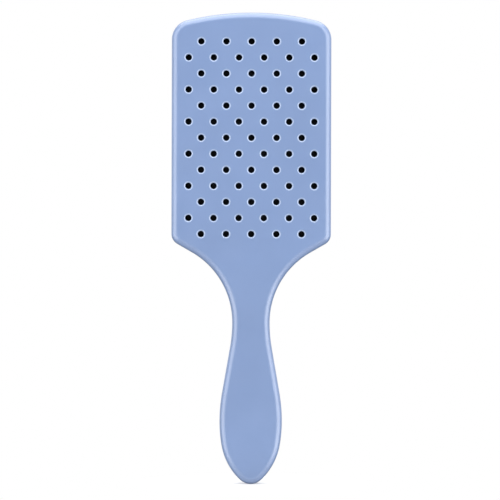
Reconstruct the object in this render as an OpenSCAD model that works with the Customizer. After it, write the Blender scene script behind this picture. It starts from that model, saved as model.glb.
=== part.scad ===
// Vented paddle hair brush: two moulded shell halves, a rubber air cushion held between them,
// and ball-tipped nylon bristles standing in columns in the cushion.
// The brush stands upright on its handle: +Z is up the brush, the flat back faces -Y and the
// bristles point along +Y. The origin is the middle of the grip, where the handle is widest.
// Outlines are drawn in the XZ plane and built along Y.

/* [Outline] */
// Height of the top of the head above the middle of the grip
top_z = 211.5; // [206:0.5:220]
// Width of the head
head_w = 82.6; // [78:0.2:86]
// Radius of the gently bowed top edge
top_r = 140.6; // [120:0.2:180]
// Radius of the two top corners
corner_r = 10.1; // [8.5:0.1:14]
// Radius where the sides of the head turn in to the shoulders
shoulder_r = 6; // [4.5:0.1:8]
// Angle between upright and the straight flanks below the shoulders
flank_turn = 60; // [58:0.5:62]
// Width of the neck at its narrowest
neck_w = 19.4; // [17:0.2:22]
// Height of the narrowest point of the neck above the middle of the grip
neck_z = 51.2; // [48:0.2:54]
// Radius of the hollow sweep from the flanks to the neck
neck_r = 41.6; // [38:0.1:43]
// Width of the handle at its widest
grip_w = 32.3; // [32:0.1:36]
// Length of the handle below the middle of the grip
grip_to_tip = 32.5; // [30:0.5:32.5]

/* [Shells] */
// Thickness of the head and handle
shell_t = 12.5; // [11.5:0.5:14]
// Thickness of the flat back plate
plate_t = 2.2; // [1.8:0.1:2.6]
// Radius of the rounded edge around the back
back_edge_r = 3.5; // [2:0.25:4]
// Width of the front rim around the cushion
rim_w = 4; // [3.6:0.1:4.6]
// Depth of the fine groove where the two halves meet
seam = 0.25; // [0.1:0.05:0.4]

/* [Vents] */
// Number of rows of vents and bristles, which alternate odd and even
rows = 13; // [9:2:13]
// Vents in each odd row; even rows have one more
row_count = 5; // [3:1:5]
// Distance between rows
row_pitch = 8.3; // [7.8:0.1:8.4]
// Distance between neighbours in a row
column_pitch = 13; // [12:0.2:13.2]
// Distance from the top of the head down to the first row
first_row = 15.1; // [14.5:0.1:17]
// Diameter of a vent
vent_d = 3.2; // [2.4:0.1:3.4]
// Radius of the rounded lip around each vent
vent_lip = 0.8; // [0.6:0.1:1.2]

/* [Cushion] */
// Thickness of the rubber
rubber_t = 1.3; // [1:0.1:1.6]
// Height of the cushion above the front rim
cushion_rise = 4.3; // [3.5:0.1:5]
// Diameter of the drain holes between the bristles
drain_d = 2.4; // [2:0.1:2.8]

/* [Bristles] */
// Length of a bristle that stands out of the cushion, with its tip
bristle_out = 17.6; // [15:0.2:20]
// Diameter of a bristle at its root
root_d = 1.4; // [1.2:0.05:1.5]
// Diameter of a bristle at its end
end_d = 1.0; // [0.8:0.05:1.1]
// Diameter of the ball tip
tip_d = 2.3; // [1.9:0.1:2.5]

/* [Hidden] */
columns = 2 * row_count + 1;
head_hw = head_w / 2;
neck_hw = neck_w / 2;
grip_hw = grip_w / 2;
$fn = 28;
cut = 1;

// Thickness of the back half and of the front rim, and the room behind the rim for the cushion's flange
back_half_t = 5.5;
rim_t = 1.8;
flange_room = 1.5;

// Depths along Y, from the back to the ball tips
back_y = -shell_t / 2;
plate_y = back_y + plate_t;
part_y = back_y + back_half_t;
front_y = back_y + shell_t;
crown_h = front_y - part_y - seam;
crown_in = 7;
rim_y = part_y + seam + crown_h * sqrt(1 - pow(1 - rim_w / crown_in, 2));
lip_y = rim_y - rim_t;
pad_y = rim_y + cushion_rise;
retainer_y = lip_y - flange_room;
tip_y = pad_y + bristle_out;

// Clearances: rubber to its neighbours, the flange to the wall, a bristle in its hole and in its tip
rubber_gap = 0.2;
flange_gap = 0.3;
root_gap = 0.3;
end_gap = 0.02;

// Body outline: centres and turning angles of its tangent arcs
top_c = top_z - top_r;
top_turn = asin((head_hw - corner_r) / (top_r - corner_r));
corner_c = [head_hw - corner_r, top_c + (top_r - corner_r) * cos(top_turn)];
flank_dx = head_hw - neck_hw - (shoulder_r + neck_r) * (1 - cos(flank_turn));
flank_dz = flank_dx / tan(flank_turn);
shoulder_z = neck_z + flank_dz + (shoulder_r + neck_r) * sin(flank_turn);
// The waist's hollow arc runs straight into the grip's round one. Their radii add up to most of the
// largest sum that still reaches from the neck to the grip.
swell_share = 0.792;
waist_share = 0.477;
swell_in = grip_hw - neck_hw;
swell = swell_share * (pow(swell_in, 2) + pow(neck_z, 2)) / (2 * swell_in);
waist_r = waist_share * swell;
belly_r = swell - waist_r;
swell_dx = swell - swell_in;
swell_turn = atan2(neck_z, swell_dx) - acos(swell / norm([swell_dx, neck_z]));
low_r = 72.8;
low_turn = 9.7;
tail_turn = 46;
// The last two arcs close the handle at its tip: two tangency conditions give their radii
tail_a = [cos(tail_turn) - cos(low_turn), sin(low_turn) - sin(tail_turn)];
tail_b = [-cos(tail_turn), sin(tail_turn) - 1];
tail_rhs = [low_r - grip_hw - low_r * cos(low_turn), low_r * sin(low_turn) - grip_to_tip];
tail_det = tail_a[0] * tail_b[1] - tail_b[0] * tail_a[1];
tail_r = (tail_rhs[0] * tail_b[1] - tail_b[0] * tail_rhs[1]) / tail_det;
nose_r = (tail_a[0] * tail_rhs[1] - tail_rhs[0] * tail_a[1]) / tail_det;
low_c = [grip_hw - low_r, 0];
tail_c = low_c + (low_r - tail_r) * [cos(low_turn), -sin(low_turn)];

// Cushion outline
pad_hw = head_hw - rim_w;
pad_top_r = top_r - rim_w;
pad_corner_r = 9;
pad_low_r = 14;
pad_bow_r = 100;
pad_low_z = 88.5;
pad_turn = asin((pad_hw - pad_corner_r) / (pad_top_r - pad_corner_r));
pad_corner_c = [pad_hw - pad_corner_r, top_c + (pad_top_r - pad_corner_r) * cos(pad_turn)];
pad_bow = asin((pad_hw - pad_low_r) / (pad_bow_r - pad_low_r));
pad_low_c = [pad_hw - pad_low_r, pad_low_z + pad_bow_r - (pad_bow_r - pad_low_r) * cos(pad_bow)];
flange_out = 1.5;
hollow_out = flange_out + flange_gap;
bulkhead = 3;
handle_wall = 3.5;
handle_top_z = pad_low_z - hollow_out - bulkhead;
roof_t = 2;

// Bosses that the two halves meet on, with the back's pegs and the front's sockets
boss_z = [62, 20, -14];
boss_d = 5.2;
peg_d = 2.4;
peg_h = 2.5;
socket_d = 2.5;
socket_h = 2.8;

function column_name(stem, c) = str(stem, c < 10 ? "0" : "", c);

// Where the rows and columns stand. Odd rows fill every other column, and even rows the rest
function row_z(row) = top_z - first_row - row_pitch * (row - 1);
function column_x(c) = (c - (columns + 1) / 2) * column_pitch / 2;
function filled(row, c) = (row + c) % 2 == 1;
function rows_in(c) = [for (row = [1:rows]) if (filled(row, c)) row];

// Points along an arc, without its first point when it carries on from the arc before it
function arc(c, r, from, to, n, first = 0) =
    [for (i = [first:n]) c + r * [cos(from + (to - from) * i / n), sin(from + (to - from) * i / n)]];

// Centre of the shoulder's arc in an outline moved in by d. Where the arc would shrink away, it keeps
// its least radius and slides in along the corner instead.
least_r = 0.3;
function shoulder_c(d) =
    let (slide = max(0, d + least_r - shoulder_r) / cos(flank_turn / 2))
    [head_hw - shoulder_r, shoulder_z] - slide * [cos(flank_turn / 2), -sin(flank_turn / 2)];

// Right half of the body's outline, moved in by d, from its top centre to its tip
function body_half(d) = concat(
    arc([0, top_c], top_r - d, 90, 90 - top_turn, 5),
    arc(corner_c, corner_r - d, 90 - top_turn, 0, 9, 1),
    arc(shoulder_c(d), max(shoulder_r - d, least_r), 0, -flank_turn, 7),
    arc([neck_hw + neck_r, neck_z], neck_r + d, 180 - flank_turn, 180, 12),
    arc([neck_hw + waist_r, neck_z], waist_r + d, 180, 180 + swell_turn, 5, 1),
    arc([grip_hw - belly_r, 0], belly_r - d, swell_turn, 0, 5),
    arc(low_c, low_r - d, 0, -low_turn, 3, 1),
    arc(tail_c, tail_r - d, -low_turn, -tail_turn, 6, 1),
    arc([0, nose_r - grip_to_tip], nose_r - d, -tail_turn, -90, 7, 1)
);

// Right half of the cushion's outline, moved in by d
function pad_half(d) = concat(
    arc([0, top_c], pad_top_r - d, 90, 90 - pad_turn, 5),
    arc(pad_corner_c, pad_corner_r - d, 90 - pad_turn, 0, 8, 1),
    arc(pad_low_c, pad_low_r - d, 0, pad_bow - 90, 8),
    arc([0, pad_low_z + pad_bow_r], pad_bow_r - d, pad_bow - 90, -90, 4, 1)
);

function whole(half) = concat(half, [for (i = [len(half) - 2:-1:1]) [-half[i][0], half[i][1]]]);

// Solid between two depths, with the given outline
module slab(half, y0, y1) {
    translate([0, y1, 0]) rotate([90, 0, 0]) linear_extrude(y1 - y0) polygon(whole(half));
}

// Solid through a stack of alike outlines, each a half outline and its depth
module loft(stack) {
    half = len(stack[0][0]);
    ring = 2 * half - 2;
    last = (len(stack) - 1) * ring;
    points = [for (s = stack, p = whole(s[0])) [p[0], s[1], p[1]]];
    walls = [for (k = [0:len(stack) - 2], i = [0:ring - 1]) let (j = (i + 1) % ring)
        [k * ring + i, (k + 1) * ring + i, (k + 1) * ring + j, k * ring + j]];
    // Each end is closed by strips that run straight across from the right side to the left
    strips = concat([[0, 1, ring - 1]], [[half - 2, half - 1, half]],
        [for (i = [1:half - 3]) [i, i + 1, ring - i - 1, ring - i]]);
    far = [for (s = strips) [for (i = [len(s) - 1:-1:0]) s[i] + last]];
    polyhedron(points, concat(walls, strips, far));
}

// Round rod along Y
module rod(x, z, y0, y1, d) {
    translate([x, y0, z]) rotate([-90, 0, 0]) cylinder(h = y1 - y0, d = d);
}

// Turned shape along Y at a place in the lattice: points are [radius, depth]
module turned(x, z, points) {
    translate([x, 0, z]) rotate([-90, 0, 0]) rotate_extrude() polygon(points);
}

// Space inside the shells: the air chamber in the head, and the hollow handle
module hollow(y0, y1_head, y1_handle) {
    slab(pad_half(-hollow_out), y0, y1_head);
    intersection() {
        slab(body_half(handle_wall), y0, y1_handle);
        translate([-head_w / 2, y0 - cut, handle_top_z - 2 * top_z])
            cube([head_w, y1_handle - y0 + 2 * cut, 2 * top_z]);
    }
}

// One vent through the back plate, with a rounded lip at its mouth
module vent(x, z) {
    r = vent_d / 2;
    steps = 4;
    turned(x, z, concat(
        [[0, back_y - cut], [r + vent_lip, back_y - cut]],
        [for (i = [0:steps]) let (a = 90 * i / steps)
            [r + vent_lip * (1 - sin(a)), back_y + vent_lip * (1 - cos(a))]],
        [[r, plate_y + cut], [0, plate_y + cut]]
    ));
}

module back_shell() {
    edge_steps = 4;
    color("#8ea6d2") {
        difference() {
            loft(concat(
                [for (i = [0:edge_steps]) let (a = 90 * i / edge_steps)
                    [body_half(back_edge_r * (1 - sin(a))), back_y + back_edge_r * (1 - cos(a))]],
                [[body_half(0), part_y - seam], [body_half(seam), part_y]]
            ));
            difference() {
                hollow(plate_y, part_y + cut, part_y + cut);
                for (z = boss_z) rod(0, z, plate_y - cut, part_y, boss_d);
            }
            for (c = [1:columns], row = rows_in(c)) vent(column_x(c), row_z(row));
        }
        for (z = boss_z) rod(0, z, part_y - cut, part_y + peg_h, peg_d);
    }
}

module front_shell() {
    crown_steps = 6;
    handle_y = front_y - roof_t;
    color("#8ea6d2") difference() {
        loft(concat(
            [[body_half(seam), part_y]],
            [for (i = [0:crown_steps]) let (a = 90 * i / crown_steps)
                [body_half(crown_in * (1 - cos(a))), part_y + seam + crown_h * sin(a)]]
        ));
        slab(pad_half(0), part_y - cut, front_y + cut);
        difference() {
            hollow(part_y - cut, lip_y, handle_y);
            for (z = boss_z) rod(0, z, part_y, handle_y + cut, boss_d);
        }
        for (z = boss_z) rod(0, z, part_y - cut, part_y + socket_h, socket_d);
    }
}

// Ring inside the head that clamps the cushion's flange against the front rim
module cushion_retainer() {
    ring_w = 2.2;
    color("#3a3d45") difference() {
        slab(pad_half(-flange_out), plate_y, retainer_y);
        slab(pad_half(ring_w - flange_out), plate_y - cut, retainer_y + cut);
    }
}

// Rubber air cushion: a flange under the rim, a steep skirt and a nearly flat top
module cushion_pad() {
    // How far in from the skirt's foot, and how much of the climb is done there
    rise = [[0, 0.42], [0.5, 0.68], [1.7, 0.88], [3.7, 0.97], [6.2, 1]];
    inner_share = 0.85;
    foot_h = 0.5;
    gap = 0.3;
    foot_y = retainer_y + rubber_gap;
    skirt_y = foot_y + foot_h;
    climb = pad_y - skirt_y;
    color("#17181b") difference() {
        union() {
            slab(pad_half(-flange_out), foot_y, lip_y - rubber_gap);
            loft(concat([[pad_half(gap), skirt_y]],
                [for (p = rise) [pad_half(gap + p[0]), skirt_y + climb * p[1]]]));
        }
        loft(concat([[pad_half(gap + rubber_t), foot_y - cut]],
            [for (p = rise) [pad_half(gap + rubber_t + p[0] * inner_share),
                skirt_y - rubber_t + climb * p[1]]]));
        for (c = [1:columns], row = [1:rows]) {
            if (filled(row, c)) rod(column_x(c), row_z(row), foot_y, pad_y + cut, root_d + 2 * root_gap);
            else if (c > 1 && c < columns && row > 1 && row < rows)
                rod(column_x(c), row_z(row), foot_y, pad_y + cut, drain_d);
        }
    }
}

// One column of bristles, each turned about its own axis: a flat head behind the rubber,
// a shank that tapers, and a short end that goes into its ball tip
module bristle_column(c) {
    head_d = 2.8;
    head_h = 0.9;
    head_gap = 0.8;
    head_y = pad_y - rubber_t - head_gap - head_h;
    color("#202227") for (row = rows_in(c)) turned(column_x(c), row_z(row), [
        [0, head_y], [head_d / 2, head_y], [head_d / 2, head_y + head_h],
        [root_d / 2, head_y + head_h], [end_d / 2, tip_y - tip_d], [end_d / 2, tip_y - tip_d / 2],
        [0, tip_y - tip_d / 2]
    ]);
}

// The ball tips of one column
module tip_column(c) {
    ball_y = tip_y - tip_d / 2;
    color("#a9b9de") for (row = rows_in(c)) difference() {
        translate([column_x(c), ball_y, row_z(row)]) sphere(d = tip_d);
        rod(column_x(c), row_z(row), ball_y - tip_d, ball_y + end_gap, end_d + 2 * end_gap);
    }
}

back_shell();
front_shell();
cushion_retainer();
cushion_pad();
for (c = [1:columns]) {
    bristle_column(c);
    tip_column(c);
}
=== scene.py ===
"""Looks of a vented paddle hair brush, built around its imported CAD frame.

The brush stands upright: +Z up the brush, -Y out of the flat back, +Y the way the bristles point.
Lengths in this file are millimetres in the row frame; Sheet turns them into metres as it builds a mesh.
"""

import math

import bmesh
import bpy
import numpy as np
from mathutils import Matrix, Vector
from mathutils.geometry import delaunay_2d_cdt


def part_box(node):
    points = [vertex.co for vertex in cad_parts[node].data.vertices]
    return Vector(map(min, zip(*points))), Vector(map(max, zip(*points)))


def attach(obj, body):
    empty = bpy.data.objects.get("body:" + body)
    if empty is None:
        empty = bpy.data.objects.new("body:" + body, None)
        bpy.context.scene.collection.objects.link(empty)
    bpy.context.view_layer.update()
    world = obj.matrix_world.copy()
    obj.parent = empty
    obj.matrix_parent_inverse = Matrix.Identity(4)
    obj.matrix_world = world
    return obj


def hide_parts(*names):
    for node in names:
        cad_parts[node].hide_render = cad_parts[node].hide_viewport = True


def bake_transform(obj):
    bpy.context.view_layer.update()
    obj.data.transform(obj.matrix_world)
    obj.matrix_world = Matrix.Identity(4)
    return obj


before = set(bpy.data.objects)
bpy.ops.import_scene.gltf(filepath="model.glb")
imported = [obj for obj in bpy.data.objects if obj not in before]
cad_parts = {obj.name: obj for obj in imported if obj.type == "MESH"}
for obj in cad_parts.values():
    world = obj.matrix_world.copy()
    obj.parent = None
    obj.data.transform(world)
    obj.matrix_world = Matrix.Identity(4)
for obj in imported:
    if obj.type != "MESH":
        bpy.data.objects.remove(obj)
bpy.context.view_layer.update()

MM = 0.001


# ---------------------------------------------------------------- sizes from the frame

def node_box(node):
    """A CAD node's lowest and highest corners in millimetres."""
    low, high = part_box(node)
    return [v / MM for v in low], [v / MM for v in high]


back_low, back_high = node_box("back_shell")
front_low, front_high = node_box("front_shell")
ball_low, ball_high = node_box("tip_column_06")

TOP_Z, TIP_Z = back_high[2], back_low[2]
HEAD_HW = back_high[0]
BACK_Y, PART_Y, FRONT_Y = back_low[1], front_low[1], front_high[1]
PAD_Y = node_box("cushion_pad")[1][1]
PIN_HEAD_Y = node_box("bristle_column_06")[0][1]
BALL_TOP_Y, BALL_R = ball_high[1], (ball_high[0] - ball_low[0]) / 2
BALL_Y = BALL_TOP_Y - BALL_R

COLUMNS = sorted(n[-2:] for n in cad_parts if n.startswith("bristle_column_"))
ROWS = 13


def column_x(column):
    low, high = node_box("bristle_column_" + column)
    return (low[0] + high[0]) / 2


COLUMN_X = {c: column_x(c) for c in COLUMNS}
FIRST_ROW_Z = node_box("tip_column_02")[1][2] - BALL_R
LAST_ROW_Z = node_box("tip_column_02")[0][2] + BALL_R
ROW_Z = [FIRST_ROW_Z + (LAST_ROW_Z - FIRST_ROW_Z) * i / (ROWS - 1) for i in range(ROWS)]

# Sizes that the frame's boxes don't give: the same values as in the CAD part
TOP_R, CORNER_R, SHOULDER_R, FLANK_TURN = 140.6, 10.1, 6.0, 60.0
NECK_HW, NECK_Z, NECK_R = 9.7, 51.2, 41.6
GRIP_HW, SWELL_SHARE, WAIST_SHARE = 16.15, 0.792, 0.477
LOW_R, LOW_TURN, TAIL_TURN = 72.8, 9.7, 46.0
PLATE_T, EDGE_R, SEAM, RIM_W, CROWN_IN = 2.2, 3.5, 0.25, 4.0, 7.0
VENT_R, VENT_LIP, DRAIN_R = 1.6, 0.8, 1.2
RUBBER_GAP, FLANGE_OUT, FLANGE_GAP, HOLLOW_OUT = 0.3, 1.5, 0.2, 1.8
PAD_CORNER_R, PAD_LOW_R, PAD_BOW_R, PAD_LOW_Z = 9.0, 14.0, 100.0, 88.5
HANDLE_WALL, HANDLE_TOP_Z, ROOF_T = 3.5, 83.7, 2.0
BOSS_Z, BOSS_R = (62.0, 20.0, -14.0), 2.6
PEG_R, PEG_H, SOCKET_R, SOCKET_H = 1.2, 2.5, 1.25, 2.8
# Sizes of this file only. The CAD part's rubber is 1.3 thick and its bristle holes are 1.0 in radius:
# these wider ones are covered by the collars. Its drain holes and pegs have sharp edges.
RUBBER_T, HOLE_R, DRAIN_LIP, PEG_CHAMFER = 1.1, 1.7, 0.45, 0.3

PLATE_Y = BACK_Y + PLATE_T
CROWN_Y = PART_Y + SEAM
RIM_Y = CROWN_Y + (FRONT_Y - CROWN_Y) * math.sqrt(1 - (1 - RIM_W / CROWN_IN) ** 2)
RIM_T = 1.8
LIP_Y = RIM_Y - RIM_T
# Points around each vent, boss, bristle hole and drain, and around each collar, bristle and ball
VENT_N, BOSS_N, HOLE_N, DRAIN_N = 32, 24, 16, 24
COLLAR_N, PIN_N, BALL_N = 24, 20, 24
# The least radius that a corner shrinks to, and about how long a step along a straight side is
LEAST_R, SIDE_STEP = 0.3, 6.0


# ---------------------------------------------------------------- outlines in the XZ plane

def arc(centre, r, start, stop, n, first=0):
    """Points along an arc, in degrees. first=1 leaves out the point that the arc before it ends on."""
    turns = [math.radians(start + (stop - start) * i / n) for i in range(first, n + 1)]
    return [(centre[0] + r * math.cos(t), centre[1] + r * math.sin(t)) for t in turns]


def degrees_of(function, value):
    return math.degrees(function(value))


def body_arcs():
    """The body's right half outline as (centre, radius, bulge, start, stop, points, first) rows.
    bulge is 1 where the outline is convex and -1 where it is hollow."""
    top_c = TOP_Z - TOP_R
    top_turn = degrees_of(math.asin, (HEAD_HW - CORNER_R) / (TOP_R - CORNER_R))
    corner = (HEAD_HW - CORNER_R, top_c + (TOP_R - CORNER_R) * math.cos(math.radians(top_turn)))
    flank_c, flank_s = math.cos(math.radians(FLANK_TURN)), math.sin(math.radians(FLANK_TURN))
    flank_dx = HEAD_HW - NECK_HW - (SHOULDER_R + NECK_R) * (1 - flank_c)
    flank_dz = flank_dx * flank_c / flank_s
    shoulder = (HEAD_HW - SHOULDER_R, NECK_Z + flank_dz + (SHOULDER_R + NECK_R) * flank_s)
    swell_in = GRIP_HW - NECK_HW
    swell = SWELL_SHARE * (swell_in**2 + NECK_Z**2) / (2 * swell_in)
    waist_r = WAIST_SHARE * swell
    belly_r = swell - waist_r
    swell_dx = swell - swell_in
    lean = math.acos(swell / math.hypot(swell_dx, NECK_Z))
    turn = math.degrees(math.atan2(NECK_Z, swell_dx) - lean)
    low_c, low_s = math.cos(math.radians(LOW_TURN)), math.sin(math.radians(LOW_TURN))
    tail_c, tail_s = math.cos(math.radians(TAIL_TURN)), math.sin(math.radians(TAIL_TURN))
    tail_r, nose_r = np.linalg.solve(
        [[tail_c - low_c, -tail_c], [low_s - tail_s, tail_s - 1]],
        [LOW_R - GRIP_HW - LOW_R * low_c, LOW_R * low_s + TIP_Z],
    )
    low = (GRIP_HW - LOW_R, 0)
    tail = (low[0] + (LOW_R - tail_r) * low_c, -(LOW_R - tail_r) * low_s)
    return [
        ((0, top_c), TOP_R, 1, 90, 90 - top_turn, 12, 0),
        (corner, CORNER_R, 1, 90 - top_turn, 0, 18, 1),
        (shoulder, SHOULDER_R, 1, 0, -FLANK_TURN, 14, 0),
        ((NECK_HW + NECK_R, NECK_Z), NECK_R, -1, 180 - FLANK_TURN, 180, 28, 0),
        ((NECK_HW + waist_r, NECK_Z), waist_r, -1, 180, 180 + turn, 9, 1),
        ((GRIP_HW - belly_r, 0), belly_r, 1, turn, 0, 10, 0),
        (low, LOW_R, 1, 0, -LOW_TURN, 8, 1),
        (tail, tail_r, 1, -LOW_TURN, -TAIL_TURN, 12, 1),
        ((0, TIP_Z + nose_r), nose_r, 1, -TAIL_TURN, -90, 14, 1),
    ]


def pad_arcs():
    """The cushion's right half outline, in the same form."""
    half_w, top_c, top_r = HEAD_HW - RIM_W, TOP_Z - TOP_R, TOP_R - RIM_W
    turn = degrees_of(math.asin, (half_w - PAD_CORNER_R) / (top_r - PAD_CORNER_R))
    bow = degrees_of(math.asin, (half_w - PAD_LOW_R) / (PAD_BOW_R - PAD_LOW_R))
    rise = (top_r - PAD_CORNER_R) * math.cos(math.radians(turn))
    drop = (PAD_BOW_R - PAD_LOW_R) * math.cos(math.radians(bow))
    return [
        ((0, top_c), top_r, 1, 90, 90 - turn, 14, 0),
        ((half_w - PAD_CORNER_R, top_c + rise), PAD_CORNER_R, 1, 90 - turn, 0, 14, 1),
        ((half_w - PAD_LOW_R, PAD_LOW_Z + PAD_BOW_R - drop), PAD_LOW_R, 1, 0, bow - 90, 16, 0),
        ((0, PAD_LOW_Z + PAD_BOW_R), PAD_BOW_R, 1, bow - 90, -90, 10, 1),
    ]


BODY_ARCS, PAD_ARCS = body_arcs(), pad_arcs()


def half_outline(arcs, inset):
    """Right half of an outline moved in by inset, from its top centre to its bottom centre.
    Long straight sides get points of their own, so that the faces along them stay short. A rounded
    corner that would shrink away keeps a least radius and slides in along the corner instead."""
    points = []
    for centre, r, bulge, start, stop, n, first in arcs:
        left = r - bulge * inset
        if bulge > 0 and left < LEAST_R:
            half, middle = math.radians(abs(stop - start) / 2), math.radians((start + stop) / 2)
            slide = (LEAST_R - left) / math.cos(half)
            centre = (centre[0] - slide * math.cos(middle), centre[1] - slide * math.sin(middle))
            left = LEAST_R
        stretch = arc(centre, left, start, stop, n, first)
        if points and not first:
            (x0, z0), (x1, z1) = points[-1], stretch[0]
            steps = max(1, round(math.hypot(x1 - x0, z1 - z0) / SIDE_STEP))
            points += [(x0 + (x1 - x0) * i / steps, z0 + (z1 - z0) * i / steps) for i in range(1, steps)]
        points += stretch
    points[0] = (0.0, points[0][1])
    points[-1] = (0.0, points[-1][1])
    return points


def whole(half):
    """The closed outline that a right half and its mirror image make."""
    return half + [(-x, z) for x, z in reversed(half[1:-1])]


def body(inset=0.0):
    return whole(half_outline(BODY_ARCS, inset))


def pad(inset=0.0):
    return whole(half_outline(PAD_ARCS, inset))


def handle_hollow():
    """Outline of the space in the handle, cut off below the bulkhead."""
    half = half_outline(BODY_ARCS, HANDLE_WALL)
    below = [p for p in half if p[1] < HANDLE_TOP_Z]
    return whole([(0.0, HANDLE_TOP_Z), (below[0][0], HANDLE_TOP_Z), *below])


def circle(x, z, r, n):
    return [(x + r * math.sin(math.tau * i / n), z + r * math.cos(math.tau * i / n)) for i in range(n)]


def inside_distance(points, outline):
    """How far each point lies inside a closed outline; negative outside it."""
    p = np.array(points, float)[:, None, :]
    a = np.array(outline, float)
    b = np.roll(a, -1, 0)
    along = b - a
    t = np.clip(((p - a) * along).sum(-1) / (along**2).sum(-1), 0, 1)
    gap = np.linalg.norm(p - (a + t[..., None] * along), axis=-1).min(1)
    x, z = p[:, 0, 0, None], p[:, 0, 1, None]
    crosses = (a[:, 1] > z) != (b[:, 1] > z)
    rise = np.where(along[:, 1] == 0, 1.0, along[:, 1])
    odd = (crosses & (x < a[:, 0] + (z - a[:, 1]) * along[:, 0] / rise)).sum(1) % 2
    return np.where(odd == 1, gap, -gap)


def lattice():
    """(column, x, z, whether a bristle and a vent stand there) for every place in the lattice."""
    places = []
    for c, column in enumerate(COLUMNS, 1):
        for row, z in enumerate(ROW_Z, 1):
            places.append((column, COLUMN_X[column], z, (row + c) % 2 == 1))
    return places


PLACES = lattice()
BRISTLES = [(column, x, z) for column, x, z, full in PLACES if full]
ROOTS = [(x, z) for _, x, z in BRISTLES]
DRAINS = [
    (x, z)
    for column, x, z, full in PLACES
    if not full and column not in (COLUMNS[0], COLUMNS[-1]) and ROW_Z[-1] < z < ROW_Z[0]
]


def roots_of(column):
    """Where a column's bristles stand."""
    return [(x, z) for c, x, z in BRISTLES if c == column]


# ---------------------------------------------------------------- mesh building

class Sheet:
    """Loops of points joined by walls and closed by fills, as one mesh."""

    def __init__(self):
        self.bm = bmesh.new()
        # How much of the painted highlight colour each point of a vent lip takes
        self.lip = self.bm.verts.layers.float.new("lip")

    def vert(self, x, y, z):
        return self.bm.verts.new((x * MM, y * MM, z * MM))

    def loop(self, outline, y):
        """A closed loop at one depth, or at a depth for each point."""
        depths = y if hasattr(y, "__len__") else [y] * len(outline)
        return [self.vert(x, depth, z) for (x, z), depth in zip(outline, depths)]

    def walls(self, loops):
        """Quads from each loop to the next."""
        for a, b in zip(loops, loops[1:]):
            for i in range(len(a)):
                j = (i + 1) % len(a)
                self.bm.faces.new((a[i], a[j], b[j], b[i]))
        return loops

    def fill(self, outer, holes=(), extra=()):
        """Triangles between a loop and the holes in it, through extra points inside. The loop is the
        first face, so a triangle that lies in that face alone is in none of the holes."""
        verts, faces = [], []
        for ring in (outer, *holes):
            first = len(verts)
            verts += ring
            faces.append(list(range(first, first + len(ring)))[::-1])
        verts += extra
        flat = [(v.co.x / MM, v.co.z / MM) for v in verts]
        inside, nearest = 1, 1e-6
        _, _, triangles, old_verts, _, old_faces = delaunay_2d_cdt(flat, [], faces, inside, nearest)
        for triangle, within in zip(triangles, old_faces):
            if within == [0]:
                self.bm.faces.new([verts[old_verts[i][0]] for i in triangle])

    def turned(self, x, z, profile, n, closed=False):
        """Turned shape along Y from (radius, depth) points. Its ends are closed, or joined to each other."""
        loops = [self.loop(circle(x, z, r, n), y) for r, y in profile]
        self.walls(loops)
        if closed:
            self.walls([loops[-1], loops[0]])
        else:
            for end in (loops[0], loops[-1]):
                self.bm.faces.new(end)
        return loops

    def bosses(self, profile):
        """The handle's three bosses, each closed at the last (radius, depth) point of its profile."""
        made = [
            self.walls([self.loop(circle(0, z, r, BOSS_N), y) for r, y in profile]) for z in BOSS_Z
        ]
        for loops in made:
            self.fill(loops[-1])
        return made

    def finish(self, name, material, sharp=40):
        """The object, with outward normals, smooth except at edges sharper than that many degrees."""
        bmesh.ops.recalc_face_normals(self.bm, faces=self.bm.faces)
        mesh = bpy.data.meshes.new(name)
        self.bm.to_mesh(mesh)
        self.bm.free()
        mesh.shade_smooth()
        mesh.set_sharp_from_angle(angle=math.radians(sharp))
        mesh.materials.append(material)
        made = bpy.data.objects.new(name, mesh)
        bpy.context.scene.collection.objects.link(made)
        return made


def weigh_normals(made):
    """Keeps flat faces flat to the eye where they run into rounded ones."""
    weigh = made.modifiers.new("flat_faces_stay_flat", "WEIGHTED_NORMAL")
    weigh.mode = "FACE_AREA"
    weigh.weight = 50
    weigh.keep_sharp = True


def rounding(r, steps):
    """(inset, drop) pairs round a quarter-circle edge, from the face to the wall beside it."""
    turns = [math.pi / 2 * i / steps for i in range(steps + 1)]
    return [(r * (1 - math.sin(t)), r * (1 - math.cos(t))) for t in turns]


# ---------------------------------------------------------------- materials

def material_with(name, **values):
    """A Principled material with its plain values set on the shader's own sockets."""
    made = bpy.data.materials.new(name)
    made.use_nodes = True
    shader = made.node_tree.nodes["Principled BSDF"]
    for socket, value in values.items():
        shader.inputs[socket.replace("_", " ")].default_value = value
    return made, made.node_tree, shader


def noise(tree, scale, detail=3.0, roughness=0.5):
    """Noise in the row frame, in cells per metre."""
    place = tree.nodes.new("ShaderNodeTexCoord")
    texture = tree.nodes.new("ShaderNodeTexNoise")
    texture.inputs["Scale"].default_value = scale
    texture.inputs["Detail"].default_value = detail
    texture.inputs["Roughness"].default_value = roughness
    tree.links.new(place.outputs["Object"], texture.inputs["Vector"])
    return texture.outputs["Fac"]


def streaks(tree, turn, length, width):
    """Sparse hairline marks in the row frame, of a length and width in metres, turned in the XZ plane."""
    place = tree.nodes.new("ShaderNodeTexCoord")
    stretch = tree.nodes.new("ShaderNodeMapping")
    stretch.inputs["Rotation"].default_value = (0, math.radians(turn), 0)
    stretch.inputs["Scale"].default_value = (1 / length, 1 / length, 1 / width)
    texture = tree.nodes.new("ShaderNodeTexNoise")
    texture.inputs["Scale"].default_value = 1.0
    texture.inputs["Detail"].default_value = 1.0
    tree.links.new(place.outputs["Object"], stretch.inputs["Vector"])
    tree.links.new(stretch.outputs["Vector"], texture.inputs["Vector"])
    return ramp(tree, texture.outputs["Fac"], 0.0, 1.0, 0.70, 0.76)


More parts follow.
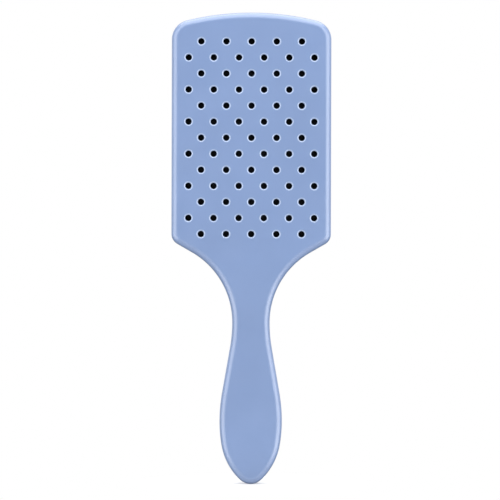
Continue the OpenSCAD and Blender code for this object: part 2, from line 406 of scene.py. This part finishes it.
def ramp(tree, source, low, high, start=0.35, stop=0.65):
    """Maps a grey source to a range of greys or colours."""
    node = tree.nodes.new("ShaderNodeValToRGB")
    ends = node.color_ramp.elements
    ends[0].position, ends[1].position = start, stop
    for end, value in zip(ends, (low, high)):
        end.color = value if hasattr(value, "__len__") else (value, value, value, 1)
    tree.links.new(source, node.inputs["Fac"])
    return node.outputs["Color"]


def mixed(tree, share, under, over):
    """Two colours mixed by a grey source."""
    node = tree.nodes.new("ShaderNodeMix")
    node.data_type = "RGBA"
    tree.links.new(share, node.inputs["Factor"])
    tree.links.new(under, node.inputs[6])
    tree.links.new(over, node.inputs[7])
    return node.outputs[2]


def bumps(tree, shader, layers):
    """Bump from (height source, depth in metres, strength) layers, coarse first."""
    normal = None
    for height, depth, strength in layers:
        node = tree.nodes.new("ShaderNodeBump")
        node.inputs["Distance"].default_value = depth
        node.inputs["Strength"].default_value = strength
        tree.links.new(height, node.inputs["Height"])
        if normal:
            tree.links.new(normal, node.inputs["Normal"])
        normal = node.outputs["Normal"]
    tree.links.new(normal, shader.inputs["Normal"])
    tree.links.new(normal, shader.inputs["Coat Normal"])


def shade(colour, by):
    return (*(c * by for c in colour), 1)


SHELL_BLUE = (0.156, 0.230, 0.410)
# Paler blue painted onto the vent lips as a highlight ring round each vent
LIP_HIGHLIGHT_BLUE = (0.31, 0.395, 0.565)
TIP_BLUE = (0.30, 0.41, 0.68)
# Turn in degrees, and length and width in metres, of each set of hairline marks
HAIRLINES = ((24, 0.012, 0.00022), (-57, 0.009, 0.00018))


def shell_material():
    """Satin soft-touch moulding: fine grain, faint cloudiness, hairline marks, edges rubbed slightly
    paler, and a painted highlight: the vent lips painted a paler blue."""
    made, tree, shader = material_with("soft_touch_blue", Specular_IOR_Level=0.7, IOR=1.5)
    shader.inputs["Coat Weight"].default_value = 1.0
    shader.inputs["Coat IOR"].default_value = 1.6
    shader.inputs["Coat Roughness"].default_value = 0.28
    clouds, blotches = noise(tree, 28, 4), noise(tree, 90, 5)
    plain = ramp(tree, clouds, shade(SHELL_BLUE, 0.97), shade(SHELL_BLUE, 1.03))
    rubbed = ramp(tree, clouds, shade(SHELL_BLUE, 1.10), shade(SHELL_BLUE, 1.18))
    form = tree.nodes.new("ShaderNodeNewGeometry")
    edges = ramp(tree, form.outputs["Pointiness"], 0.0, 0.6, 0.51, 0.58)
    worn = mixed(tree, edges, plain, rubbed)
    # Painted highlight: the lip layer mixes the vent lips towards a paler blue
    lip = tree.nodes.new("ShaderNodeAttribute")
    lip.attribute_name = "lip"
    pale = ramp(tree, noise(tree, 300, 3), shade(LIP_HIGHLIGHT_BLUE, 0.97), shade(LIP_HIGHLIGHT_BLUE, 1.03))
    tree.links.new(mixed(tree, lip.outputs["Fac"], worn, pale), shader.inputs["Base Color"])
    satin, scuffed = ramp(tree, blotches, 0.34, 0.42), ramp(tree, blotches, 0.46, 0.54)
    for turn, length, width in HAIRLINES:
        satin = mixed(tree, streaks(tree, turn, length, width), satin, scuffed)
    tree.links.new(satin, shader.inputs["Roughness"])
    bumps(tree, shader, [
        (noise(tree, 320, 2), 0.00004, 0.10),
        (noise(tree, 2600, 3), 0.00005, 0.80),
    ])
    return made


def rubber_material():
    """Matt black moulded rubber, with a fine skin texture and a trace of dust."""
    made, tree, shader = material_with("cushion_rubber_black", Specular_IOR_Level=0.4, IOR=1.5)
    shader.inputs["Sheen Weight"].default_value = 0.12
    shader.inputs["Sheen Roughness"].default_value = 0.5
    clouds = noise(tree, 60, 4)
    skin = ramp(tree, clouds, (0.011, 0.012, 0.014, 1), (0.017, 0.018, 0.021, 1))
    dusty = ramp(tree, clouds, (0.060, 0.062, 0.066, 1), (0.075, 0.077, 0.082, 1))
    specks = ramp(tree, noise(tree, 1500, 2), 0.0, 0.35, 0.68, 0.76)
    tree.links.new(mixed(tree, specks, skin, dusty), shader.inputs["Base Color"])
    tree.links.new(ramp(tree, noise(tree, 140, 4), 0.48, 0.62), shader.inputs["Roughness"])
    bumps(tree, shader, [
        (noise(tree, 400, 3), 0.00006, 0.15),
        (noise(tree, 4200, 2), 0.00002, 0.35),
    ])
    return made


def nylon_material():
    """Drawn nylon: smooth, dark, a little see-through, with faint marks along its length."""
    made, tree, shader = material_with("bristle_nylon_black", Specular_IOR_Level=0.5, IOR=1.53)
    shader.inputs["Coat Weight"].default_value = 0.15
    shader.inputs["Coat Roughness"].default_value = 0.2
    tone = ramp(tree, noise(tree, 180, 3), (0.013, 0.014, 0.017, 1), (0.024, 0.026, 0.031, 1))
    tree.links.new(tone, shader.inputs["Base Color"])
    tree.links.new(ramp(tree, noise(tree, 900, 3), 0.26, 0.38), shader.inputs["Roughness"])
    bumps(tree, shader, [(noise(tree, 3000, 2), 0.00001, 0.2)])
    return made


def tip_material():
    """Smooth resin balls, each a slightly different tone."""
    made, tree, shader = material_with("tip_resin_blue", Specular_IOR_Level=0.5, IOR=1.5)
    shader.inputs["Coat Weight"].default_value = 0.4
    shader.inputs["Coat Roughness"].default_value = 0.08
    form = tree.nodes.new("ShaderNodeNewGeometry")
    tone = ramp(tree, form.outputs["Random Per Island"], shade(TIP_BLUE, 0.9), shade(TIP_BLUE, 1.1), 0, 1)
    tree.links.new(tone, shader.inputs["Base Color"])
    tree.links.new(ramp(tree, noise(tree, 1200, 3), 0.16, 0.26), shader.inputs["Roughness"])
    bumps(tree, shader, [(noise(tree, 2500, 2), 0.00001, 0.12)])
    return made


def retainer_material():
    """Plain dark moulding inside the head."""
    made, tree, shader = material_with("retainer_grey", Specular_IOR_Level=0.5)
    tone = ramp(tree, noise(tree, 70, 4), (0.030, 0.032, 0.038, 1), (0.042, 0.044, 0.052, 1))
    tree.links.new(tone, shader.inputs["Base Color"])
    tree.links.new(ramp(tree, noise(tree, 200, 4), 0.45, 0.6), shader.inputs["Roughness"])
    bumps(tree, shader, [(noise(tree, 1800, 3), 0.00003, 0.3)])
    return made


# ---------------------------------------------------------------- shells

# How much painted highlight each ring of a vent's lip takes, from the flat back inwards
LIP_HIGHLIGHT_SHARE = (0.0, 0.8, 1.0, 1.0, 1.0, 0.8, 0.5, 0.0)


def vent_profile():
    """(radius, depth) down one vent, from the flat back through its rounded lip to the air chamber."""
    lip = [(VENT_R + inset, BACK_Y + drop) for inset, drop in rounding(VENT_LIP, 6)]
    return [*lip, (VENT_R, PLATE_Y)]


def build_back_shell(material):
    sheet = Sheet()
    edge = [(inset, BACK_Y + drop) for inset, drop in rounding(EDGE_R, 10)]
    outside = sheet.walls([
        sheet.loop(body(inset), y)
        for inset, y in [*edge, (0, PART_Y - SEAM), (SEAM, PART_Y)]
    ])
    vents = [
        sheet.walls([sheet.loop(circle(x, z, r, VENT_N), y) for r, y in vent_profile()])
        for x, z in ROOTS
    ]
    # The lip layer carries the painted highlight, ring by ring
    for loops in vents:
        for loop, pale in zip(loops, LIP_HIGHLIGHT_SHARE):
            for vert in loop:
                vert[sheet.lip] = pale
    head = sheet.walls([sheet.loop(pad(-HOLLOW_OUT), y) for y in (PLATE_Y, PART_Y)])
    handle = sheet.walls([sheet.loop(handle_hollow(), y) for y in (PLATE_Y, PART_Y)])
    pegs = sheet.bosses([
        (BOSS_R, PLATE_Y), (BOSS_R, PART_Y), (PEG_R, PART_Y),
        (PEG_R, PART_Y + PEG_H - PEG_CHAMFER), (PEG_R - PEG_CHAMFER, PART_Y + PEG_H),
    ])
    sheet.fill(outside[0], [loops[0] for loops in vents])
    sheet.fill(head[0], [loops[-1] for loops in vents])
    sheet.fill(handle[0], [loops[0] for loops in pegs])
    sheet.fill(outside[-1], [head[-1], handle[-1]])
    made = sheet.finish("back_cover", material)
    weigh_normals(made)
    return made


def crown_y(points):
    """Depth of the front's rounded surface at each point."""
    depth = np.clip(inside_distance(points, body()), 0, CROWN_IN)
    return CROWN_Y + (FRONT_Y - CROWN_Y) * np.sqrt(1 - (1 - depth / CROWN_IN) ** 2)


def build_front_shell(material):
    sheet = Sheet()
    fillet = 0.6
    # The walls follow the crown to just outside the window's fillet; the fill carries it on from there
    rim_in, steps = 3.0, 10
    rim_turn = math.acos(1 - rim_in / CROWN_IN)
    turns = [rim_turn * i / steps for i in range(steps + 1)]
    profile = [(SEAM, PART_Y)] + [
        (CROWN_IN * (1 - math.cos(t)), CROWN_Y + (FRONT_Y - CROWN_Y) * math.sin(t)) for t in turns
    ]
    outside = sheet.walls([sheet.loop(body(inset), y) for inset, y in profile])
    window = []
    for inset, drop in rounding(fillet, 4):
        outline = pad(-inset)
        window.append(sheet.loop(outline, crown_y(outline) - drop))
    window.append(sheet.loop(pad(), LIP_Y))
    window += [sheet.loop(pad(-HOLLOW_OUT), y) for y in (LIP_Y, PART_Y)]
    sheet.walls(window)
    # Points along the handle's rounded sides and over its top, clear of the window
    room = 0.3
    extra = []
    for inset in (3.4, 3.9, 4.5, 5.2, 5.9, 6.5, CROWN_IN):
        outline = body(inset)
        clear = inside_distance(outline, pad()) < -fillet - room
        kept = [p for p, far in zip(outline, clear) if far]
        extra += sheet.loop(kept, crown_y(kept))
    sheet.fill(outside[-1], [window[0]], extra)
    roof_y = FRONT_Y - ROOF_T
    handle = sheet.walls([sheet.loop(handle_hollow(), y) for y in (roof_y, PART_Y)])
    sockets = sheet.bosses([
        (BOSS_R, roof_y), (BOSS_R, PART_Y), (SOCKET_R, PART_Y), (SOCKET_R, PART_Y + SOCKET_H),
    ])
    sheet.fill(handle[0], [loops[0] for loops in sockets])
    sheet.fill(outside[0], [window[-1], handle[-1]])
    made = sheet.finish("front_cover", material)
    weigh_normals(made)
    return made


# ---------------------------------------------------------------- cushion

SKIRT_TOP, SKIRT_IN, SKIRT_POWER = RIM_Y + 0.3, 6.2, 2.5
PUCKER, PUCKER_R = 0.35, 2.3
CROWN_RISE = 0.8


def pad_surface(points):
    """Depth of the cushion's top at each point: rounded sides, a low crown from side to side, and the
    rubber drawn up a little round each bristle."""
    p = np.array(points, float)
    inset = np.clip(inside_distance(points, pad(RUBBER_GAP)), 0, SKIRT_IN)
    side = (1 - (1 - inset / SKIRT_IN) ** SKIRT_POWER) ** (1 / SKIRT_POWER)
    crown = CROWN_RISE * (1 - (p[:, 0] / HEAD_HW) ** 2) * (inset / SKIRT_IN) ** 2
    near = np.linalg.norm(p[:, None] - np.array(ROOTS), axis=-1).min(1)
    return SKIRT_TOP + (PAD_Y - SKIRT_TOP) * side + crown + PUCKER * np.exp(-((near / PUCKER_R) ** 2))


def build_cushion(material):
    sheet = Sheet()
    flange_y, bevel = LIP_Y - FLANGE_GAP, 0.2
    loops = [
        sheet.loop(pad(-FLANGE_OUT), flange_y),
        sheet.loop(pad(RUBBER_GAP - bevel), flange_y),
        sheet.loop(pad(RUBBER_GAP), flange_y + bevel),
        sheet.loop(pad(RUBBER_GAP), (flange_y + SKIRT_TOP) / 2),
    ]
    # Rings up the rounded side, closest where it is steepest. The last one clears every hole.
    ring_in = 2.2
    for inset in (0, 0.04, 0.12, 0.25, 0.45, 0.7, 1.0, 1.4, 1.8, ring_in):
        outline = pad(RUBBER_GAP + inset)
        loops.append(sheet.loop(outline, pad_surface(outline)))
    sheet.walls(loops)
    holes = []
    for x, z in ROOTS:
        outline = circle(x, z, HOLE_R, HOLE_N)
        holes.append(sheet.loop(outline, pad_surface(outline)))
    for x, z in DRAINS:
        rings = []
        for inset, drop in rounding(DRAIN_LIP, 4):
            outline = circle(x, z, DRAIN_R + inset, DRAIN_N)
            rings.append(sheet.loop(outline, pad_surface(outline) - drop))
        sheet.walls(rings)
        holes.append(rings[0])
    # An even grid of points carries the crown and the puckers between the holes
    pitch, row_share, edge_room, hole_room = 1.3, 0.87, 0.6, 0.5
    xs = np.arange(-HEAD_HW, HEAD_HW, pitch)
    zs = np.arange(PAD_LOW_Z, TOP_Z, pitch * row_share)
    grid = [(x + pitch / 2 * (i % 2), z) for i, z in enumerate(zs) for x in xs]
    middles = np.array(ROOTS + DRAINS)
    nearest = np.linalg.norm(np.array(grid)[:, None] - middles, axis=-1).min(1)
    free = inside_distance(grid, pad(RUBBER_GAP + ring_in)) > edge_room
    free &= nearest > DRAIN_R + DRAIN_LIP + hole_room
    kept = [p for p, clear in zip(grid, free) if clear]
    sheet.fill(loops[-1], holes, sheet.loop(kept, pad_surface(kept)))
    made = sheet.finish("air_cushion", material, sharp=50)
    thicken = made.modifiers.new("rubber_thickness", "SOLIDIFY")
    thicken.thickness = RUBBER_T * MM
    thicken.offset = -1
    return made


def build_collars(column, material):
    """Rubber drawn up round each bristle of a column. Below the lip the inside widens, so that the
    leaning bristle clears it."""
    sheet = Sheet()
    outside = [
        (2.40, -0.10), (2.10, -0.02), (1.85, 0.04), (1.60, 0.13), (1.40, 0.27), (1.24, 0.45),
        (1.13, 0.66), (1.06, 0.86), (0.97, 0.98), (0.86, 1.02),
    ]
    inside = [(0.78, 0.96), (0.88, 0.78), (1.06, 0.45), (1.48, 0.02), (2.05, -0.20)]
    # (radius, height over the cushion), brought down with the pucker that the collar stands on
    section = [
        (r, rise - PUCKER * (1 - math.exp(-((r / PUCKER_R) ** 2)))) for r, rise in outside + inside
    ]
    foot = pad_surface(roots_of(column))
    for (x, z), y in zip(roots_of(column), foot):
        sheet.turned(x, z, [(r, y + rise) for r, rise in section], COLLAR_N, closed=True)
    made = sheet.finish("root_collars_" + column, material, sharp=70)
    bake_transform(made)
    return made


# ---------------------------------------------------------------- bristles

def build_bristles(column, material):
    """The column's pins: a flat head behind the rubber, a filleted root and a tapering shank."""
    sheet = Sheet()
    head_r, head_t, chamfer, end_r = 1.4, 0.9, 0.15, 0.50
    head_top = PIN_HEAD_Y + head_t
    profile = [
        (head_r - chamfer, PIN_HEAD_Y), (head_r, PIN_HEAD_Y + chamfer),
        (head_r, head_top - chamfer), (head_r - chamfer, head_top),
        (0.85, head_top + 0.02), (0.74, head_top + 0.12), (0.70, head_top + 0.35),
        (0.66, head_top + 4), (0.61, head_top + 9), (0.55, head_top + 14),
        (end_r, BALL_TOP_Y - 3.2), (end_r, BALL_Y),
    ]
    for x, z in roots_of(column):
        sheet.turned(x, z, profile, PIN_N)
    return sheet.finish("bristles_" + column, material)


def build_tips(column, material):
    """The column's ball tips, each with a short neck that runs down onto its bristle."""
    sheet = Sheet()
    neck = [(0.53, BALL_Y - 1.75), (0.60, BALL_Y - 1.55), (0.70, BALL_Y - 1.25), (0.85, BALL_Y - 0.92)]
    ball = arc((0, BALL_Y), BALL_R, -38, 83, 12, first=1)
    for x, z in roots_of(column):
        top = sheet.turned(x, z, neck + ball, BALL_N)[-1]
        crown = sheet.vert(x, BALL_TOP_Y, z)
        cap = next(f for f in top[0].link_faces if len(f.verts) == len(top))
        sheet.bm.faces.remove(cap)
        for i in range(len(top)):
            sheet.bm.faces.new((top[i], top[(i + 1) % len(top)], crown))
    return sheet.finish("ball_tips_" + column, material, sharp=60)


# ---------------------------------------------------------------- stage, light and camera

def studio_world(seen, behind, before, below, below_behind):
    """White where the camera looks. The brush is lit by the backdrop behind it, by the pale ground before
    it, and much less by the dark half of the room that its back faces."""
    world = bpy.data.worlds.new("studio")
    bpy.context.scene.world = world
    world.use_nodes = True
    tree = world.node_tree
    light = tree.nodes["Background"]
    direction = tree.nodes.new("ShaderNodeTexCoord")
    parts = tree.nodes.new("ShaderNodeSeparateXYZ")
    tree.links.new(direction.outputs["Generated"], parts.inputs[0])
    # Parts of a direction: its Y where the room turns from before to behind, and its Z, with 0.5
    # added, where the ground ends
    side, horizon = (0.0, 0.35), (0.28, 0.48)
    room = ramp(tree, parts.outputs["Y"], before, behind, *side)
    ground = ramp(tree, parts.outputs["Y"], below, below_behind, *side)
    up = tree.nodes.new("ShaderNodeMath")
    up.operation = "ADD"
    up.inputs[1].default_value = 0.5
    tree.links.new(parts.outputs["Z"], up.inputs[0])
    above = ramp(tree, up.outputs[0], 0.0, 1.0, *horizon)
    tree.links.new(mixed(tree, above, ground, room), light.inputs["Color"])
    backdrop = tree.nodes.new("ShaderNodeBackground")
    backdrop.inputs["Color"].default_value = (1.0, 1.0, 1.0, 1)
    backdrop.inputs["Strength"].default_value = seen
    path = tree.nodes.new("ShaderNodeLightPath")
    choose = tree.nodes.new("ShaderNodeMixShader")
    tree.links.new(path.outputs["Is Camera Ray"], choose.inputs["Fac"])
    tree.links.new(light.outputs["Background"], choose.inputs[1])
    tree.links.new(backdrop.outputs["Background"], choose.inputs[2])
    tree.links.new(choose.outputs["Shader"], tree.nodes["World Output"].inputs["Surface"])


def softbox(name, place, aim, width, height, radiance):
    """An area light at a place in metres, turned towards a point. A radiance of 1 looks plain white."""
    data = bpy.data.lights.new(name, "AREA")
    data.shape = "RECTANGLE"
    data.size, data.size_y = width, height
    data.energy = radiance * math.pi * width * height
    made = bpy.data.objects.new(name, data)
    bpy.context.scene.collection.objects.link(made)
    made.location = place
    towards = (Vector(aim) - made.location).normalized()
    made.rotation_euler = towards.to_track_quat("-Z", "Y").to_euler()
    return made


def build_floor():
    """A pale round floor under the tip of the handle, which fades into the white around it."""
    sheet = Sheet()
    fade_start, fade_stop = 0.014, 0.07
    rings = [
        [sheet.vert(x, y, TIP_Z - drop) for x, y in circle(0, 0, r, 128)]
        for r, drop in ((230, 0), (232, 0.6), (234, 2), (234, 10))
    ]
    sheet.walls(rings)
    sheet.bm.faces.new(rings[0])
    made, tree, shader = material_with("floor_white", Specular_IOR_Level=0.1)
    tone = ramp(tree, noise(tree, 9, 4), (0.78, 0.78, 0.78, 1), (0.80, 0.80, 0.80, 1))
    tree.links.new(tone, shader.inputs["Base Color"])
    tree.links.new(ramp(tree, noise(tree, 40, 3), 0.75, 0.85), shader.inputs["Roughness"])
    place = tree.nodes.new("ShaderNodeTexCoord")
    distance = tree.nodes.new("ShaderNodeVectorMath")
    distance.operation = "LENGTH"
    tree.links.new(place.outputs["Object"], distance.inputs[0])
    fade = ramp(tree, distance.outputs["Value"], 1.0, 0.0, fade_start, fade_stop)
    tree.links.new(fade, shader.inputs["Alpha"])
    floor = sheet.finish("floor", made)
    floor.visible_glossy = False


def build_camera():
    """A long lens straight at the flat back, level with the middle of the photo's frame."""
    frame_mm = 258.3
    centre_x, centre_z = -0.57, 88.6
    lens, sensor, roll = 200.0, 36.0, -0.15
    distance = frame_mm * lens / sensor
    data = bpy.data.cameras.new("camera")
    data.lens, data.sensor_width = lens, sensor
    data.clip_end = 20
    made = bpy.data.objects.new("camera", data)
    bpy.context.scene.collection.objects.link(made)
    made.location = (centre_x * MM, (BACK_Y - distance) * MM, centre_z * MM)
    made.rotation_euler = (math.pi / 2, math.radians(roll), 0)
    bpy.context.scene.camera = made


def build_lights():
    """A white backdrop, wide softboxes at both sides of the back and one overhead. A soft fill lights
    the bristle side, and leaves no reflection on the rims that are seen from the back."""
    aim = (0, 0, 0.10)
    studio_world(seen=1.0, behind=0.60, before=0.06, below=0.85, below_behind=0.12)
    softbox("left_softbox", (-1.06, -0.62, 0.20), aim, 1.4, 1.6, 2.4)
    softbox("right_softbox", (1.06, -0.62, 0.20), aim, 1.4, 1.6, 2.8)
    softbox("top_softbox", (0.0, -0.22, 1.30), aim, 2.0, 2.3, 2.7)
    fill = softbox("front_fill", (0.0, 1.10, 0.45), aim, 1.6, 1.6, 1.6)
    fill.visible_glossy = False
    fill.visible_camera = False


# ---------------------------------------------------------------- the brush

def ride(piece, body_name, slot, *nodes):
    """A piece that goes with a body, in the place of CAD nodes. Its slot is not used."""
    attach(piece, body_name)
    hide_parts(*nodes)


def main():
    build_camera()
    build_lights()
    build_floor()
    shell, rubber = shell_material(), rubber_material()
    nylon, tip = nylon_material(), tip_material()
    ride(build_back_shell(shell), "paddle", "soft_touch_shell", "back_shell")
    ride(build_front_shell(shell), "paddle", "soft_touch_shell", "front_shell")
    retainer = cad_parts["cushion_retainer"]
    retainer.data.materials.clear()
    retainer.data.materials.append(retainer_material())
    cushion = build_cushion(rubber)
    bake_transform(cushion)
    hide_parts("cushion_pad")
    for column in COLUMNS:
        build_collars(column, rubber)
        rider = "column_" + column
        ride(build_bristles(column, nylon), rider, "bristle_nylon", "bristle_column_" + column)
        ride(build_tips(column, tip), rider, "tip_resin", "tip_column_" + column)
    bpy.context.scene.view_settings.view_transform = "Standard"
    bpy.context.scene.view_settings.look = "None"


main()
